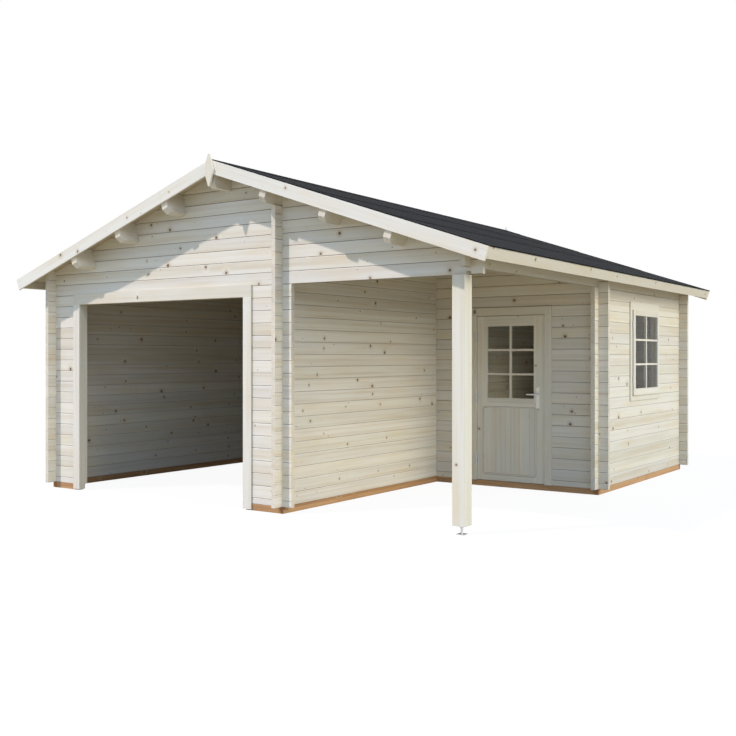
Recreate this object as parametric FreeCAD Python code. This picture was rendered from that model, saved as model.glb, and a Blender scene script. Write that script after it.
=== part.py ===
import FreeCAD
import Part
import math
import os

V = FreeCAD.Vector
os.makedirs("parts", exist_ok=True)

# Plan, to the outer faces of the log walls: garage on the left, carport and store room on the right
garage_width = 3148.3
carport_width = 1951.7
carport_depth = 2722.0
store_depth = 2778.0

# Logs
log_height = 114.0
log_thickness = 44.0
log_chamfer = 4.0
log_end = 102.0
log_count_below_beam = 17
seam = 0.3
past = 1.0
smallest_piece = 12.0

# Foundation beams
foundation_height = 60.0
foundation_width = 60.0

# Roof, measured along the slope and square to it
roof_slope = math.radians(18.9)
side_wall_rise = 255.8
overhang_side = 285.4
overhang_front = 257.0
overhang_back = 284.0
board_thickness = 19.0
felt_thickness = 6.0
felt_drip = 6.0
barge_width = 116.0
barge_thickness = 20.0
fascia_width = 95.0
fascia_thickness = 20.0
finial_top = 50.0
finial_widest = 94.5
finial_bottom = 246.5
finial_half_width = 60.0
finial_tip_width = 10.0
finial_neck = 8.0
finial_neck_share = 0.5
finial_thickness = 18.0
purlin_width = 70.0
purlin_height = 200.0
purlin_off_partition = 3.0
purlin_count = 3
purlin_chamfer = 42.0
ridge_purlin_depth = 235.0

# Garage opening
pier_left = 444.0
pier_right = 412.3
lining_thickness = 28.0
lining_depth = 60.0
settling_gap = 69.0
trim_depth = 28.0
garage_casing_width = 98.0
garage_header_width = 112.0
casing_thickness = 16.0
casing_ground_gap = 10.0

# Door of the store room
door_from_partition = 522.7
door_width = 788.0
door_below_beam = 209.0
door_thickness = 42.0
door_hinge_gap = 5.0
door_latch_gap = 8.0
door_edge_gap = 6.0
frame_thickness = 40.0
frame_depth = 60.0
frame_stop = 12.0
frame_clearance = 5.0
door_casing_width = 79.0
door_header_width = 86.0
door_stile = 117.0
door_top_rail = 106.0
door_middle_rail = 97.0
door_bottom_rail = 85.0
door_glass_bottom = 959.0
door_glass_thickness = 4.0
door_panel_thickness = 18.0
panel_play = 1.0
groove_depth = 9.0

# Door furniture
handle_height = 1010.0
handle_backset = 70.0
plate_width = 40.0
plate_top = 78.0
plate_bottom = 143.0
plate_thickness = 4.0
spindle_radius = 8.0
spindle_play = 0.06
spindle_bore = 12.0
lever_reach = 108.0
lever_standoff = 44.0
lever_radius = 9.0
rose_length = 12.0
rose_radius = 13.0
rose_air = 0.5
hinge_knuckle = 7.0
hinge_pin = 4.0
hinge_play = 0.05
hinge_height = 100.0
hinge_wing = 2.0
hinge_wing_depth = 50.0
hinge_proud = 8.0
hinge_inset = 180.0
hinge_count = 3

# Window of the store room, in the right wall
window_off_middle = 16.0
sash_width = 872.0
sash_height = 939.0
sash_below_beam = 134.0
sash_stile = 54.0
sash_bottom_rail = 69.0
sash_thickness = 44.0
sash_proud = 35.0
sash_gap = 3.0
window_frame_thickness = 33.0
window_glass_thickness = 4.0
window_casing_side = 50.0
window_casing_top = 89.0
window_casing_bottom = 56.0

# Carport post and its adjustable foot
post_size = 118.0
post_inset = 34.0
post_bottom = 72.0
post_chamfer = 5.0
foot_plate = 66.0
foot_thickness = 6.0
foot_rod_radius = 10.0
foot_nut_radius = 17.0
foot_nut_height = 14.0

# Places that follow from the sizes above; X = 0 is under the ridge, Y = 0 is mid length of the roof
cos_s = math.cos(roof_slope)
sin_s = math.sin(roof_slope)
body_width = garage_width + carport_width
body_depth = carport_depth + store_depth
left_x = -body_width / 2
right_x = body_width / 2
front_y = (overhang_front - overhang_back - body_depth) / 2
back_y = front_y + body_depth
partition_x = left_x + garage_width
store_y = front_y + carport_depth
barge_front_y = front_y - overhang_front
barge_back_y = back_y + overhang_back
roof_front_y = barge_front_y + barge_thickness
roof_back_y = barge_back_y - barge_thickness
ceiling_v = board_thickness + seam
half_log = log_height / 2
notch = log_height / 4
beam_height = foundation_height + half_log + log_count_below_beam * log_height
side_wall_top = beam_height + side_wall_rise
ridge_height = side_wall_top + (ceiling_v + right_x * sin_s) / cos_s
slope_length = (right_x + overhang_side) / cos_s
store_inner_y = store_y + log_thickness
opening_height = beam_height - settling_gap - lining_thickness
open_x0 = left_x + pier_left
open_x1 = partition_x - pier_right
rough_x0 = open_x0 - lining_thickness
rough_x1 = open_x1 + lining_thickness
door_x0 = partition_x + log_thickness + door_from_partition
door_x1 = door_x0 + door_width
door_z0 = foundation_height + door_edge_gap
door_top = beam_height - door_below_beam
frame_x0 = door_x0 - door_hinge_gap
frame_x1 = door_x1 + door_latch_gap
frame_z1 = door_top + door_edge_gap
window_y = (store_y + back_y) / 2 + window_off_middle
sash_y0 = window_y - sash_width / 2
sash_y1 = sash_y0 + sash_width
sash_top = beam_height - sash_below_beam
sash_bottom = sash_top - sash_height
post_x1 = right_x - post_inset
post_x0 = post_x1 - post_size
post_y0 = front_y + log_thickness / 2 - post_size / 2
far = body_width + body_depth


def box(x0, x1, y0, y1, z0, z1):
    return Part.makeBox(x1 - x0, y1 - y0, z1 - z0, V(x0, y0, z0))


def prism_y(points, y0, y1):
    """A solid of constant section along Y, from (x, z) corners."""
    wire = Part.makePolygon([V(x, y0, z) for x, z in points + points[:1]])
    return Part.Face(wire).extrude(V(0, y1 - y0, 0))


def prism_x(points, x0, x1):
    """A solid of constant section along X, from (y, z) corners."""
    wire = Part.makePolygon([V(x0, y, z) for y, z in points + points[:1]])
    return Part.Face(wire).extrude(V(x1 - x0, 0, 0))


def on_slope(side, u, v):
    """(x, z) of a point u down the slope from the ridge and v square below the boards' top."""
    return (side * (u * cos_s - v * sin_s), ridge_height - u * sin_s - v * cos_s)


def mitre_u(x, v):
    """Distance down the slope at which depth v lies x from the ridge line."""
    return (x + v * sin_s) / cos_s


def slope_slab(side, u_end, v0, v1, y0, y1):
    """A board or layer from the ridge mitre down one slope."""
    half = seam / 2
    corners = [(mitre_u(half, v0), v0), (u_end, v0), (u_end, v1), (mitre_u(half, v1), v1)]
    return prism_y([on_slope(side, u, v) for u, v in corners], y0, y1)


def under_slope(v):
    """Everything above depth v of both slopes, to cut wall tops with."""
    apex_z = ridge_height - v / cos_s
    side_z = apex_z - far * math.tan(roof_slope)
    return prism_y([(-far, side_z), (0, apex_z), (far, side_z), (far, far), (-far, far)], -far, far)


def slope_z(x, v):
    """Height of depth v above a point x from the ridge line."""
    return ridge_height - (v + abs(x) * sin_s) / cos_s


def keep(node, solids):
    """Write the solids of one node to its own file."""
    flat = []
    for solid in solids:
        flat.extend(solid.Solids)
    shape = flat[0] if len(flat) == 1 else Part.makeCompound(flat)
    shape.exportStep("parts/" + node + ".step")


# Purlins: one under the ridge and three square to each slope
def end_wedges(corner, down, along):
    """Wedges off the lower corners of a purlin's two ends, from a point (x, z) on its underside."""
    c = purlin_chamfer
    wedges = []
    for y, way in ((roof_front_y, 1), (roof_back_y, -1)):
        base = V(corner[0], y, corner[1])
        outer = V(0, -way * c, 0)
        corners = [base + outer - down * 2 * c, base - outer * 2 + down * c, base + outer + down * c]
        wedges.append(Part.Face(Part.makePolygon(corners + corners[:1])).extrude(along * far))
    return wedges


def purlin_solid(side, number, grow):
    u = number * purlin_spacing
    v0 = board_thickness - (past if grow else 0.0)
    v1 = board_thickness + purlin_height + grow
    half = purlin_width / 2 + grow
    corners = [(u - half, v0), (u + half, v0), (u + half, v1), (u - half, v1)]
    body = prism_y([on_slope(side, a, b) for a, b in corners], roof_front_y, roof_back_y)
    if grow:
        return body
    down = V(-side * sin_s, 0, -cos_s)
    along = V(side * cos_s, 0, -sin_s)
    return body.cut(end_wedges(on_slope(side, u - far / 2, v1), down, along))


def ridge_purlin_solid(grow):
    half = purlin_width / 2 + grow
    lift = past if grow else 0.0
    bottom = slope_z(0, board_thickness) - ridge_purlin_depth - grow
    corners = [(-half, bottom), (half, bottom), (half, slope_z(half, board_thickness) + lift),
               (0, slope_z(0, board_thickness) + lift), (-half, slope_z(half, board_thickness) + lift)]
    body = prism_y(corners, roof_front_y, roof_back_y)
    if grow:
        return body
    return body.cut(end_wedges((-far / 2, bottom), V(0, 0, -1), V(1, 0, 0)))


first_purlin_x = partition_x + log_thickness / 2 - purlin_off_partition
purlin_spacing = mitre_u(first_purlin_x, board_thickness + purlin_height / 2)
purlins = {side: [purlin_solid(side, n + 1, 0.0) for n in range(purlin_count)] for side in (-1, 1)}
purlin_pockets = [purlin_solid(side, n + 1, seam) for side in (-1, 1) for n in range(purlin_count)]
purlin_pockets.append(ridge_purlin_solid(seam))
roof_space = under_slope(ceiling_v)
partition_space = under_slope(board_thickness + purlin_height + seam)


# Logs: eight-sided section, saddle notches where two walls cross
def log_section(low, high, near):
    """Corners (across, z) of a log's section; near is the wall's lower face coordinate."""
    c = log_chamfer
    other = near + log_thickness
    return [(near + c, low), (other - c, low), (other, low + c), (other, high - c),
            (other - c, high), (near + c, high), (near, high - c), (near, low + c)]


def log(along_x, near, start, end, low, high, crossings, cuts):
    """One log; low and high are its seat and top, crossings the lower faces of the walls it meets."""
    make = prism_x if along_x else prism_y
    body = make(log_section(low, high - seam, near), start, end)
    tools = []
    side_0 = near - past
    side_1 = near + log_thickness + past
    for face in crossings:
        if not start - log_thickness < face < end:
            continue
        a0 = face - seam
        a1 = face + log_thickness + seam
        spans = [(high - notch - seam, high)]
        if low > foundation_height or not along_x:
            spans.append((low - seam, low + notch))
        for z0, z1 in spans:
            if along_x:
                tools.append(box(a0, a1, side_0, side_1, z0, z1))
            else:
                tools.append(box(side_0, side_1, a0, a1, z0, z1))
    limits = body.BoundBox
    tools += [cut for cut in cuts if limits.intersect(cut.BoundBox)]
    pieces = body.cut(tools) if tools else body
    least = log_height * log_thickness * smallest_piece
    return [piece for piece in pieces.Solids if piece.Volume > least]


def courses_x(top):
    """Seats and tops of the courses of a wall along X, which starts with a half log."""
    spans = [(foundation_height, foundation_height + half_log)]
    low = foundation_height + half_log
    while low < top:
        spans.append((low, low + log_height))
        low += log_height
    return spans


def courses_y(top):
    """Seats and tops of the courses of a wall along Y, which starts with a full log."""
    spans = []
    low = foundation_height
    while low < top:
        spans.append((low, low + log_height))
        low += log_height
    return spans


x_walls = [left_x, partition_x, right_x - log_thickness]
y_walls = [front_y, store_y, back_y - log_thickness]
ridge_top = ridge_height - ceiling_v / cos_s
partition_v = board_thickness + purlin_height + seam
partition_top = slope_z(partition_x, partition_v)
wall_left = left_x - log_end
wall_right = right_x + log_end


def crossed_by(low, walls):
    """Those of the walls along Y that a course at this height still meets."""
    return [x for x in walls if x != partition_x or low < partition_top]


def gable_cuts(low, high, start, end):
    """Roof and purlin tools that a gable course meets."""
    cuts = []
    if high > min(slope_z(start, ceiling_v), slope_z(end, ceiling_v)):
        cuts.append(roof_space)
    cuts += [pocket for pocket in purlin_pockets if pocket.BoundBox.ZMin < high]
    return cuts


# Front wall: a pier each side of the opening, and the gable that also bridges the carport
pier_end = partition_x + log_thickness + log_end
front_left, front_right, front_gable = [], [], []
for low, high in courses_x(ridge_top):
    if high <= beam_height + seam:
        front_left += log(True, front_y, wall_left, rough_x0, low, high, x_walls, [])
        front_right += log(True, front_y, rough_x1, pier_end, low, high, x_walls, [])
    else:
        front_gable += log(True, front_y, wall_left, wall_right, low, high, crossed_by(low, x_walls),
                           gable_cuts(low, high, wall_left, wall_right))
keep("front_wall_left", front_left)
keep("front_wall_right", front_right)
keep("front_gable", front_gable)

# Back wall with its gable
back_wall = []
for low, high in courses_x(ridge_top):
    back_wall += log(True, back_y - log_thickness, wall_left, wall_right, low, high,
                     crossed_by(low, x_walls), gable_cuts(low, high, wall_left, wall_right))
keep("back_wall", back_wall)

# Store front: beside the door, and over it up to the roof
door_rough_x0 = frame_x0 - frame_thickness - frame_clearance
door_rough_x1 = frame_x1 + frame_thickness + frame_clearance
door_rough_top = frame_z1 + frame_thickness + frame_clearance
door_hole = box(door_rough_x0, door_rough_x1, store_y - past, store_inner_y + past, 0, door_rough_top)
store_start = partition_x - log_end
store_left, store_right, door_log, store_over = [], [], [], []
for low, high in courses_x(slope_z(partition_x, ceiling_v)):
    if high <= door_rough_top:
        store_left += log(True, store_y, store_start, door_rough_x0, low, high, x_walls, [])
        store_right += log(True, store_y, door_rough_x1, wall_right, low, high, x_walls, [])
    else:
        start = store_start if low < partition_top else partition_x
        cuts = gable_cuts(low, high, start, wall_right)
        notched = low < door_rough_top
        made = log(True, store_y, start, wall_right, low, high, crossed_by(low, x_walls),
                   cuts + [door_hole] if notched else cuts)
        if notched:
            door_log += made
        else:
            store_over += made
keep("store_front_left", store_left)
keep("store_front_right", store_right)
keep("log_over_door", door_log)
keep("store_front_over_door", store_over)

# Side walls and the partition
window_margin = sash_gap + window_frame_thickness
window_hole = box(right_x - log_thickness - past, right_x + past,
                  sash_y0 - window_margin, sash_y1 + window_margin,
                  sash_bottom - window_margin, sash_top + window_margin)
side_top = slope_z(right_x - log_thickness, ceiling_v)
wall_front = front_y - log_end
wall_back = back_y + log_end
left_wall, partition_wall, right_wall, carport_beam = [], [], [], []
for low, high in courses_y(side_top):
    cuts = [roof_space] if high > slope_z(left_x, ceiling_v) else []
    left_wall += log(False, left_x, wall_front, wall_back, low, high, y_walls[::2], cuts)
    if low > beam_height:
        carport_beam += log(False, right_x - log_thickness, wall_front, wall_back, low, high, y_walls, cuts)
    else:
        right_wall += log(False, right_x - log_thickness, store_y - log_end, wall_back, low, high,
                          y_walls[1:], cuts + [window_hole])
for low, high in courses_y(partition_top):
    cuts = [partition_space] if high > slope_z(partition_x + log_thickness, partition_v) else []
    partition_wall += log(False, partition_x, wall_front, wall_back, low, high, y_walls, cuts)
keep("left_wall", left_wall)
keep("right_wall", right_wall)
keep("partition_wall", partition_wall)
keep("carport_side_beam", carport_beam)

# Foundation beams: the long ones run through, the short ones butt against them
beam_inner_left = left_x + foundation_width
beam_partition_0 = partition_x - (foundation_width - log_thickness) / 2
beam_partition_1 = beam_partition_0 + foundation_width
beam_inner_right = right_x - foundation_width
keep("foundation_long_beams", [
    box(left_x, beam_inner_left, front_y, back_y, 0, foundation_height),
    box(beam_partition_0, beam_partition_1, front_y, back_y - foundation_width, 0, foundation_height),
    box(beam_inner_right, right_x, store_y, back_y, 0, foundation_height)])
keep("foundation_cross_beams", [
    box(beam_inner_left, beam_inner_right, back_y - foundation_width, back_y, 0, foundation_height),
    box(beam_inner_left, rough_x0, front_y, front_y + foundation_width, 0, foundation_height),
    box(rough_x1, beam_partition_0, front_y, front_y + foundation_width, 0, foundation_height),
    box(beam_partition_1, beam_inner_right, store_y, store_y + foundation_width, 0, foundation_height)])

# Roof
for side, name in ((-1, "left"), (1, "right")):
    keep("purlins_" + name, purlins[side])
    keep("roof_boards_" + name,
         [slope_slab(side, slope_length - fascia_thickness, 0, board_thickness, roof_front_y, roof_back_y)])
    keep("roof_felt_" + name,
         [slope_slab(side, slope_length + felt_drip, -felt_thickness, 0, roof_front_y, roof_back_y)])
    fascia = [(slope_length - fascia_thickness, 0), (slope_length, 0),
              (slope_length, fascia_width), (slope_length - fascia_thickness, fascia_width)]
    keep("eave_fascia_" + name,
         [prism_y([on_slope(side, u, v) for u, v in fascia], roof_front_y, roof_back_y)])
keep("ridge_purlin", [ridge_purlin_solid(0.0)])
for place, y0, y1, tip0, tip1 in (
        ("front", barge_front_y, roof_front_y, barge_front_y - finial_thickness, barge_front_y),
        ("back", roof_back_y, barge_back_y, barge_back_y, barge_back_y + finial_thickness)):
    keep("bargeboards_" + place,
         [slope_slab(side, slope_length, 0, barge_width, y0, y1) for side in (-1, 1)])
    right_edge = [(finial_tip_width / 2, ridge_height + finial_top),
                  (finial_half_width * finial_neck_share, ridge_height - finial_neck),
                  (finial_half_width, ridge_height - finial_widest),
                  (finial_tip_width / 2, ridge_height - finial_bottom)]
    kite = right_edge + [(-x, z) for x, z in reversed(right_edge)]
    keep("finial_" + place, [prism_y(kite, tip0, tip1)])

# Garage opening: lining, outer casing and rebated inner trim
lining_y1 = front_y + lining_depth
keep("garage_lining", [
    box(rough_x0, open_x0, front_y, lining_y1, casing_ground_gap, opening_height),
    box(open_x1, rough_x1, front_y, lining_y1, casing_ground_gap, opening_height),
    box(rough_x0, rough_x1, front_y, lining_y1, opening_height, opening_height + lining_thickness)])
casing_y0 = front_y - casing_thickness
casing_x0 = open_x0 - garage_casing_width
casing_x1 = open_x1 + garage_casing_width
keep("garage_casing", [
    box(casing_x0, open_x0, casing_y0, front_y, casing_ground_gap, opening_height),
    box(open_x1, casing_x1, casing_y0, front_y, casing_ground_gap, opening_height),
    box(casing_x0, casing_x1, casing_y0, front_y, opening_height, opening_height + garage_header_width)])
trim_y0 = front_y + log_thickness
trim_y1 = lining_y1 + trim_depth
trim_left = box(casing_x0, open_x0, trim_y0, trim_y1, foundation_height, opening_height)
trim_right = box(open_x1, casing_x1, trim_y0, trim_y1, foundation_height, opening_height)
trim_head = box(casing_x0, casing_x1, trim_y0, trim_y1, opening_height, opening_height + garage_header_width)
lining_space = [
    box(rough_x0, open_x0, front_y, lining_y1, 0, opening_height + lining_thickness),
    box(open_x1, rough_x1, front_y, lining_y1, 0, opening_height + lining_thickness),
    box(rough_x0, rough_x1, front_y, lining_y1, opening_height, opening_height + lining_thickness),
    box(left_x, beam_inner_left, front_y, back_y, 0, foundation_height)]
keep("garage_inner_trim", [trim.cut(lining_space) for trim in (trim_left, trim_right, trim_head)])

# Door frame, casing, leaf, panel and glass
frame = box(frame_x0 - frame_thickness, frame_x1 + frame_thickness, store_y, store_y + frame_depth,
            foundation_height, frame_z1 + frame_thickness)
door_space = box(frame_x0, frame_x1, store_y - past, store_y + frame_depth - frame_stop,
                 foundation_height - past, frame_z1)
stop_space = box(frame_x0 + frame_stop, frame_x1 - frame_stop, store_y, store_y + frame_depth + past,
                 foundation_height + 2 * frame_stop, frame_z1 - frame_stop)
keep("door_frame", [frame.cut([door_space, stop_space])])
door_casing_y0 = store_y - casing_thickness
door_casing_x0 = frame_x0 - door_casing_width
door_casing_x1 = frame_x1 + door_casing_width
keep("door_casing", [
    box(door_casing_x0, frame_x0, door_casing_y0, store_y, foundation_height, frame_z1),
    box(frame_x1, door_casing_x1, door_casing_y0, store_y, foundation_height, frame_z1),
    box(door_casing_x0, door_casing_x1, door_casing_y0, store_y, frame_z1, frame_z1 + door_header_width)])

door_y1 = store_y + door_thickness
glass_x0 = door_x0 + door_stile
glass_x1 = door_x1 - door_stile
glass_z1 = door_top - door_top_rail
panel_z0 = door_z0 + door_bottom_rail
panel_z1 = door_glass_bottom - door_middle_rail
pane_y0 = store_y + (door_thickness - door_glass_thickness) / 2
panel_y0 = store_y + (door_thickness - door_panel_thickness) / 2
spindle_x = door_x1 - handle_backset


def through_y(radius, x, z, y0, y1):
    return Part.makeCylinder(radius, y1 - y0, V(x, y0, z), V(0, 1, 0))


leaf = box(door_x0, door_x1, store_y, door_y1, door_z0, door_top)
g = groove_depth
p = panel_play
leaf = leaf.cut([
    box(glass_x0, glass_x1, store_y - past, door_y1 + past, door_glass_bottom, glass_z1),
    box(glass_x0, glass_x1, store_y - past, door_y1 + past, panel_z0, panel_z1),
    box(glass_x0 - g, glass_x1 + g, pane_y0, pane_y0 + door_glass_thickness,
        door_glass_bottom - g, glass_z1 + g),
    box(glass_x0 - g, glass_x1 + g, panel_y0, panel_y0 + door_panel_thickness, panel_z0 - g, panel_z1 + g),
    through_y(spindle_bore, spindle_x, handle_height, store_y - past, door_y1 + past)])
keep("door_leaf", [leaf])
keep("door_glass", [box(glass_x0 - g + p, glass_x1 + g - p, pane_y0, pane_y0 + door_glass_thickness,
                        door_glass_bottom - g, glass_z1 + g - p)])
keep("door_panel", [box(glass_x0 - g + p, glass_x1 + g - p, panel_y0, panel_y0 + door_panel_thickness,
                        panel_z0 - g, panel_z1 + g - p)])

# Lock plates, and the two levers on one spindle
plates = []
for y0, y1 in ((store_y - plate_thickness, store_y), (door_y1, door_y1 + plate_thickness)):
    plate = box(spindle_x - plate_width / 2, spindle_x + plate_width / 2, y0, y1,
                handle_height - plate_bottom, handle_height + plate_top)
    bore = through_y(spindle_radius + spindle_play, spindle_x, handle_height, y0 - past, y1 + past)
    plates.append(plate.cut(bore))
keep("lock_plates", plates)
lever_y0 = store_y - lever_standoff
lever_y1 = door_y1 + lever_standoff
handle = [through_y(spindle_radius, spindle_x, handle_height, lever_y0, lever_y1)]
for y in (lever_y0, lever_y1):
    handle.append(Part.makeCylinder(lever_radius, lever_reach, V(spindle_x, y, handle_height), V(-1, 0, 0)))
    handle.append(Part.makeSphere(lever_radius, V(spindle_x, y, handle_height)))
    handle.append(Part.makeSphere(lever_radius, V(spindle_x - lever_reach, y, handle_height)))
rose_start = plate_thickness + rose_air
for y, way in ((store_y - rose_start, -1), (door_y1 + rose_start, 1)):
    handle.append(Part.makeCylinder(rose_radius, rose_length, V(spindle_x, y, handle_height), V(0, way, 0)))
keep("door_handle", [handle[0].multiFuse(handle[1:]).removeSplitter()])

# Lift-off hinges: the frame half carries the pin, the leaf half turns on it
hinge_x = (frame_x0 + door_x0) / 2
hinge_y = door_casing_y0 - hinge_proud
hinge_run = door_top - door_z0 - 2 * hinge_inset - hinge_height
frame_halves, leaf_halves = [], []
for n in range(hinge_count):
    z0 = door_z0 + hinge_inset + n * hinge_run / (hinge_count - 1)
    z_mid = z0 + hinge_height / 2
    z1 = z0 + hinge_height
    knuckle = Part.makeCylinder(hinge_knuckle, hinge_height / 2, V(hinge_x, hinge_y, z0))
    pin = Part.makeCylinder(hinge_pin, hinge_height - hinge_wing, V(hinge_x, hinge_y, z0))
    wing = box(frame_x0, frame_x0 + hinge_wing, hinge_y, hinge_y + hinge_wing_depth, z0, z_mid)
    frame_halves.append(knuckle.multiFuse([pin, wing]))
    upper = Part.makeCylinder(hinge_knuckle, hinge_height / 2 - seam, V(hinge_x, hinge_y, z_mid + seam))
    wing = box(door_x0 - hinge_wing, door_x0, hinge_y, hinge_y + hinge_wing_depth, z_mid + seam, z1)
    bore = Part.makeCylinder(hinge_pin + hinge_play, hinge_height / 2, V(hinge_x, hinge_y, z_mid))
    leaf_halves.append(upper.fuse(wing).cut(bore))
keep("hinge_frame_halves", frame_halves)
keep("hinge_leaf_halves", leaf_halves)

# Window: frame in the wall, casing outside, a sash that stands proud, and its glass
wf = window_frame_thickness
ring_y0 = sash_y0 - sash_gap
ring_y1 = sash_y1 + sash_gap
ring_z0 = sash_bottom - sash_gap
ring_z1 = sash_top + sash_gap
inner_x = right_x - log_thickness - casing_thickness
sash_x1 = right_x + sash_proud
sash_x0 = sash_x1 - sash_thickness
frame = box(inner_x, right_x, ring_y0 - wf, ring_y1 + wf, ring_z0 - wf, ring_z1 + wf)
frame = frame.cut([
    box(sash_x0, right_x + past, ring_y0, ring_y1, ring_z0, ring_z1),
    box(inner_x - past, right_x, ring_y0 + frame_stop, ring_y1 - frame_stop,
        ring_z0 + frame_stop, ring_z1 - frame_stop)])
keep("window_frame", [frame])
side, top, bottom = window_casing_side, window_casing_top, window_casing_bottom
casing_x = right_x + casing_thickness
keep("window_casing", [
    box(right_x, casing_x, ring_y0 - side, ring_y1 + side, ring_z1, ring_z1 + top),
    box(right_x, casing_x, ring_y0 - side, ring_y1 + side, ring_z0 - bottom, ring_z0),
    box(right_x, casing_x, ring_y0 - side, ring_y0, ring_z0, ring_z1),
    box(right_x, casing_x, ring_y1, ring_y1 + side, ring_z0, ring_z1)])
pane_x = (sash_x0 + sash_x1 - window_glass_thickness) / 2
pane = (sash_y0 + sash_stile, sash_y1 - sash_stile, sash_bottom + sash_bottom_rail, sash_top - sash_stile)
sash = box(sash_x0, sash_x1, sash_y0, sash_y1, sash_bottom, sash_top).cut([
    box(sash_x0 - past, sash_x1 + past, pane[0], pane[1], pane[2], pane[3]),
    box(pane_x, pane_x + window_glass_thickness, pane[0] - g, pane[1] + g, pane[2] - g, pane[3] + g)])
keep("window_sash", [sash])
keep("window_glass", [box(pane_x, pane_x + window_glass_thickness, pane[0] - g + p, pane[1] + g - p,
                          pane[2] - g, pane[3] + g - p)])

# Carport post and its galvanised adjustable foot
post_x_mid = post_x0 + post_size / 2
post_y_mid = post_y0 + post_size / 2
c = post_chamfer
x0, x1, y0, y1 = post_x0, post_x1, post_y0, post_y0 + post_size
outline = [(x0 + c, y0), (x1 - c, y0), (x1, y0 + c), (x1, y1 - c), (x1 - c, y1), (x0 + c, y1),
           (x0, y1 - c), (x0, y0 + c)]
wire = Part.makePolygon([V(x, y, post_bottom) for x, y in outline + outline[:1]])
keep("carport_post", [Part.Face(wire).extrude(V(0, 0, beam_height - post_bottom))])
half = foot_plate / 2
t = foot_thickness
foot = box(post_x_mid - half, post_x_mid + half, post_y_mid - half, post_y_mid + half, 0, t)
head = box(post_x_mid - half, post_x_mid + half, post_y_mid - half, post_y_mid + half,
           post_bottom - t, post_bottom)
rod = Part.makeCylinder(foot_rod_radius, post_bottom, V(post_x_mid, post_y_mid, 0))
corners = [math.radians(60 * k) for k in range(7)]
nut_z = post_bottom - t - foot_nut_height
wire = Part.makePolygon([V(post_x_mid + foot_nut_radius * math.cos(a),
                           post_y_mid + foot_nut_radius * math.sin(a), nut_z) for a in corners])
nut = Part.Face(wire).extrude(V(0, 0, foot_nut_height))
keep("post_foot", [foot.multiFuse([head, rod, nut]).removeSplitter()])
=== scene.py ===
import math
import random

import bmesh
import bpy
from mathutils import Matrix, Vector


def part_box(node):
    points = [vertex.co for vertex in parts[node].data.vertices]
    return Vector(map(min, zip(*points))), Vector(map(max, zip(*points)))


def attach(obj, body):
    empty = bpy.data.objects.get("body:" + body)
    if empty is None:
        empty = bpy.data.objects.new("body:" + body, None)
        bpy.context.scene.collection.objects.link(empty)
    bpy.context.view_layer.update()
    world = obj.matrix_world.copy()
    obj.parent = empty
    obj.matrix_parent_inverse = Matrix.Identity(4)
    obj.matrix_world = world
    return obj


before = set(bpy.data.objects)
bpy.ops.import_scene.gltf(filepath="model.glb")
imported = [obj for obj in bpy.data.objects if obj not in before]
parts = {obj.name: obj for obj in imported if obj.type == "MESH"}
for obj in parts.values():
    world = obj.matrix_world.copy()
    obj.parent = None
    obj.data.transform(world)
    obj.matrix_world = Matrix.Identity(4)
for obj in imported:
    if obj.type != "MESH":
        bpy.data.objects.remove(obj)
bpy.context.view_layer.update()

# The log walls: planed spruce logs, 44 mm thick and 114 mm high, tongued and grooved into each
# other with a small V joint, and notched over each other at the corners. The wood is bare, with
# small dark knots, and each log has its own tone.
# The shade in each V joint and a highlight on the chamfer under it are painted into the wood's colour.
log_height = 0.114
across_first_joint = 0.003
along_first_joint = 0.060
v_joint_half = 0.0042
ring_width = 0.0042


def put(tree, kind, *inputs, **settings):
    """A node with its own settings, and its sockets filled in order with links or values."""
    made = tree.nodes.new(kind)
    for name, value in settings.items():
        setattr(made, name, value)
    for socket, value in zip(made.inputs, inputs):
        if isinstance(value, bpy.types.NodeSocket):
            tree.links.new(value, socket)
        elif value is not None:
            socket.default_value = value
    return made


def sum_of(tree, operation, *inputs):
    return put(tree, "ShaderNodeMath", *inputs, operation=operation).outputs[0]


def ease(tree, value, low, high, to_low=0.0, to_high=1.0):
    """A smooth step from to_low at low to to_high at high."""
    made = put(tree, "ShaderNodeMapRange", value, low, high, to_low, to_high)
    made.interpolation_type = "SMOOTHSTEP"
    return made.outputs[0]


def colour_mix(tree, share, first, second, blend_type="MIX"):
    made = put(tree, "ShaderNodeMix", data_type="RGBA", blend_type=blend_type)
    for index, value in ((0, share), (6, first), (7, second)):
        if isinstance(value, bpy.types.NodeSocket):
            tree.links.new(value, made.inputs[index])
        else:
            made.inputs[index].default_value = value
    return made.outputs[2]


def noise(tree, place, scale, detail=2.0):
    made = put(tree, "ShaderNodeTexNoise", place)
    made.inputs["Scale"].default_value = scale
    made.inputs["Detail"].default_value = detail
    return made.outputs["Fac"]


def new_group(name, inputs, outputs):
    """An empty shader node group; inputs are (name, kind, value) and outputs (name, kind)."""
    group = bpy.data.node_groups.new(name, "ShaderNodeTree")
    for socket_name, kind, value in inputs:
        made = group.interface.new_socket(socket_name, in_out="INPUT", socket_type="NodeSocket" + kind)
        if value is not None:
            made.default_value = value
    for socket_name, kind in outputs:
        group.interface.new_socket(socket_name, in_out="OUTPUT", socket_type="NodeSocket" + kind)
    taken = group.nodes.new("NodeGroupInput").outputs
    given = group.nodes.new("NodeGroupOutput").inputs
    return group, taken, given


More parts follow.
